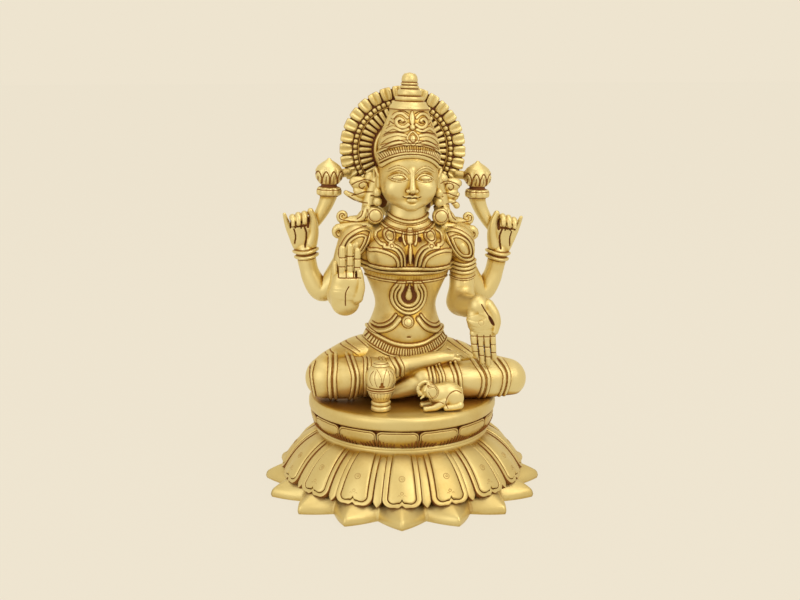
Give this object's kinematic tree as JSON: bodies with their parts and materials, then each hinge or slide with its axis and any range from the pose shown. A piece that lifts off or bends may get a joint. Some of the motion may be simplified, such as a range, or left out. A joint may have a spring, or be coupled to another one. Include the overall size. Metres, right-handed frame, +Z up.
{
  "type": "lakshmi figure",
  "caption": "Seated four-armed goddess in cast brass with a petalled halo, on a round lotus base, with a water pot and a small elephant before her.",
  "frame": {"origin": "middle of the lotus base's underside, on the floor", "axes": "+Z up; the figure faces -Y; +X is to the right of someone facing her"},
  "size_m": [0.2564, 0.2564, 0.38],
  "materials": {
    "base_brass": "polished yellow brass with brown wax left in the cuts",
    "figure_brass": "polished yellow brass with dark red-brown patina in the recesses",
    "pot_brass": "polished yellow brass with brown patina under the leaves",
    "elephant_brass": "bright rubbed brass with patina in the folds"
  },
  "bodies": {
    "root": {"lotus_base": "base_brass", "figure": "figure_brass", "water_pot": "pot_brass", "elephant": "elephant_brass"}
  },
  "joints": []
}
